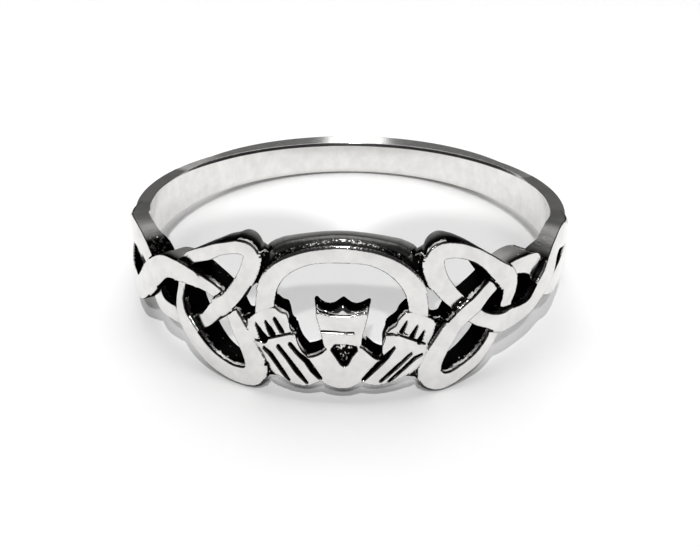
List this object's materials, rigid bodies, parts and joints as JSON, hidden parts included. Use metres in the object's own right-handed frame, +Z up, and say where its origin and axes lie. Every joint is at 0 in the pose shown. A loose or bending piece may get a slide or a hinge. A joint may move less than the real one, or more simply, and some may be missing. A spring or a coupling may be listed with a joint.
{
  "type": "claddagh finger ring",
  "caption": "Cast silver finger ring: hands holding a crowned heart between pierced trinity knots, on a plain band that tapers to the back.",
  "frame": {"origin": "on the surface the ring lies on, under the middle of its overall box", "axes": "+Z up; -Y towards the front with the heart; +X to the right of the heart, seen from the front. The finger's axis leans 7.4 degrees from +Z towards +Y"},
  "size_m": [0.0186, 0.02, 0.0064],
  "materials": {
    "silver": "polished cast silver, oxidised black in the recesses and piercings"
  },
  "bodies": {
    "root": {"claddagh_ring": "silver"}
  },
  "joints": []
}
